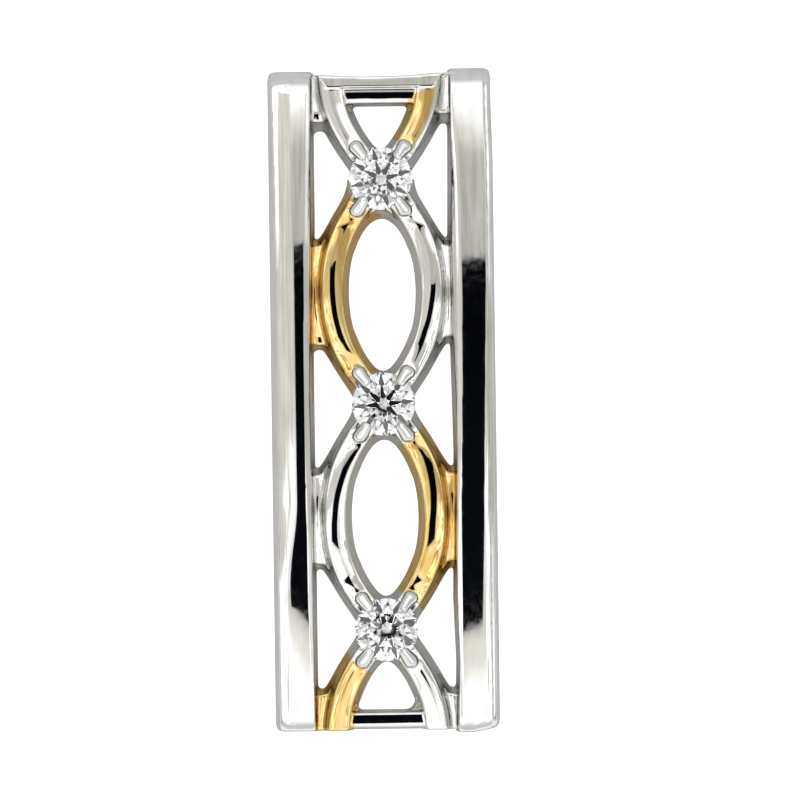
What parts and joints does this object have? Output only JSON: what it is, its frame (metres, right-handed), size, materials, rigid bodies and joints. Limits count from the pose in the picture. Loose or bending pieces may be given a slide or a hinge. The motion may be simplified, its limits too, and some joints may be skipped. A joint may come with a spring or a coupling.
{
  "type": "rectangle pendant",
  "caption": "Slim rectangle pendant with two crowned side bars and two-tone crossing ribbons that carry round stones in claw settings; a chain runs behind the top edge.",
  "frame": {"origin": "on the flat back, under the middle of the outline", "axes": "+X to the right and +Y to the pendant's top edge as it is worn, +Z out of the front"},
  "size_m": [0.0082, 0.024, 0.0028],
  "materials": {
    "white_gold": "high polish, rhodium bright white gold",
    "yellow_gold": "high polish yellow gold",
    "diamond": "clear round brilliant cut, polished facets"
  },
  "bodies": {
    "root": {"frame": "white_gold", "ribbon_top_right": "yellow_gold", "ribbon_upper_left": "yellow_gold", "ribbon_lower_right": "yellow_gold", "ribbon_bottom_left": "yellow_gold", "stone_top": "diamond", "stone_middle": "diamond", "stone_bottom": "diamond"}
  },
  "joints": []
}
